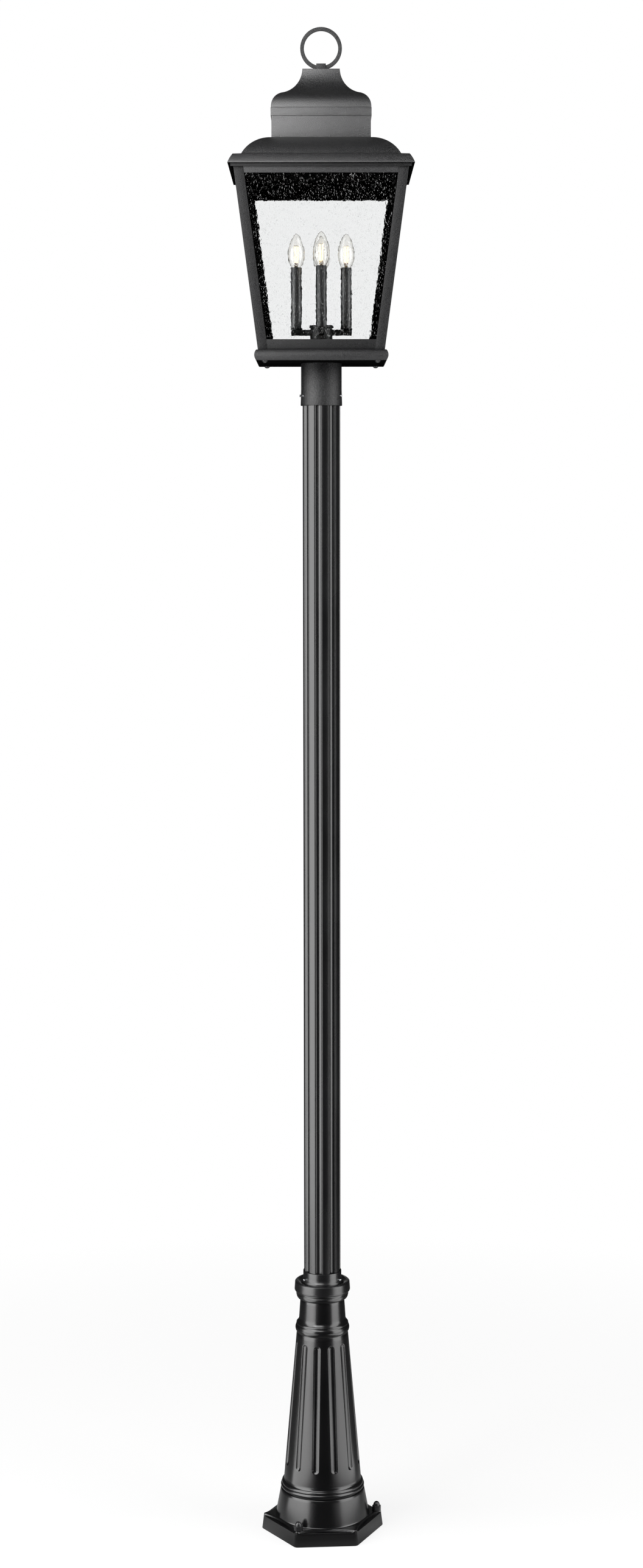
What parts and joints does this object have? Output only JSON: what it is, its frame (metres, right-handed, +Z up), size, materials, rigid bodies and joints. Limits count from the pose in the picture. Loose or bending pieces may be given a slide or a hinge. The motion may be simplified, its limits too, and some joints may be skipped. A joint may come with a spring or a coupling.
{
  "type": "outdoor post light",
  "caption": "Square glass lantern with a candle cluster, on a grooved round post and a fluted hexagon-footed pedestal.",
  "frame": {"origin": "on the ground, under the middle of the post", "axes": "+Z up the post, -Y towards the front of the lantern, +X to the lantern's right as seen from the front"},
  "size_m": [0.364, 0.364, 3.1057],
  "materials": {
    "post_black": "satin black paint",
    "lantern_black": "finely textured black powder coat",
    "cluster_black": "matt black paint",
    "nut_black": "black plated",
    "bright_steel": "bright plated",
    "plain_steel": "zinc plated",
    "socket_black": "matt moulded",
    "seedy_glass": "clear with small bubbles",
    "bulb_glass": "clear",
    "bulb_base": "nickel plated",
    "filament_glow": "glowing"
  },
  "bodies": {
    "post": {"base_casting": "post_black", "anchor_cap_nuts": "nut_black", "post_collar": "post_black", "collar_set_screws": "bright_steel", "post_tube": "post_black", "fitter_sleeve": "post_black", "fitter_set_screws": "bright_steel", "lantern_pan": "lantern_black", "pan_screws": "nut_black", "cluster_nipple": "plain_steel", "nipple_nuts": "plain_steel", "hub_body": "cluster_black", "hub_cap": "cluster_black", "arm_front": "cluster_black", "arm_right": "cluster_black", "arm_back": "cluster_black", "arm_left": "cluster_black", "candle_cups": "cluster_black", "candle_sleeve_front": "cluster_black", "candle_sleeve_right": "cluster_black", "candle_sleeve_back": "cluster_black", "candle_sleeve_left": "cluster_black", "socket_front": "socket_black", "socket_right": "socket_black", "socket_back": "socket_black", "socket_left": "socket_black"},
    "cage": {"corner_stile_front_left": "lantern_black", "corner_stile_front_right": "lantern_black", "corner_stile_back_right": "lantern_black", "corner_stile_back_left": "lantern_black", "top_rails": "lantern_black", "bottom_rails": "lantern_black", "glass_pane_front": "seedy_glass", "glass_pane_right": "seedy_glass", "glass_pane_back": "seedy_glass", "glass_pane_left": "seedy_glass", "glass_clips": "lantern_black", "corner_brackets": "lantern_black", "ceiling_tray": "lantern_black", "roof_shell": "lantern_black", "roof_screws": "plain_steel", "chimney_box": "lantern_black", "chimney_cap": "lantern_black", "ring_saddle": "lantern_black", "finial_ring": "lantern_black", "tie_rod": "plain_steel", "tie_rod_nut": "plain_steel"},
    "bulb_front": {"bulb_glass_front": "bulb_glass", "bulb_screw_front": "bulb_base", "bulb_filament_front": "filament_glow"},
    "bulb_right": {"bulb_glass_right": "bulb_glass", "bulb_screw_right": "bulb_base", "bulb_filament_right": "filament_glow"},
    "bulb_back": {"bulb_glass_back": "bulb_glass", "bulb_screw_back": "bulb_base", "bulb_filament_back": "filament_glow"},
    "bulb_left": {"bulb_glass_left": "bulb_glass", "bulb_screw_left": "bulb_base", "bulb_filament_left": "filament_glow"}
  },
  "joints": [
    {"name": "cage_lift", "type": "slide", "parent": "post", "child": "cage", "axis": [0, 0, 1], "range_m": [0, 0.28]},
    {"name": "bulb_front_out", "type": "slide", "parent": "post", "child": "bulb_front", "axis": [0, 0, 1], "range_m": [0, 0.025]},
    {"name": "bulb_right_out", "type": "slide", "parent": "post", "child": "bulb_right", "axis": [0, 0, 1], "range_m": [0, 0.025]},
    {"name": "bulb_back_out", "type": "slide", "parent": "post", "child": "bulb_back", "axis": [0, 0, 1], "range_m": [0, 0.025]},
    {"name": "bulb_left_out", "type": "slide", "parent": "post", "child": "bulb_left", "axis": [0, 0, 1], "range_m": [0, 0.025]}
  ]
}
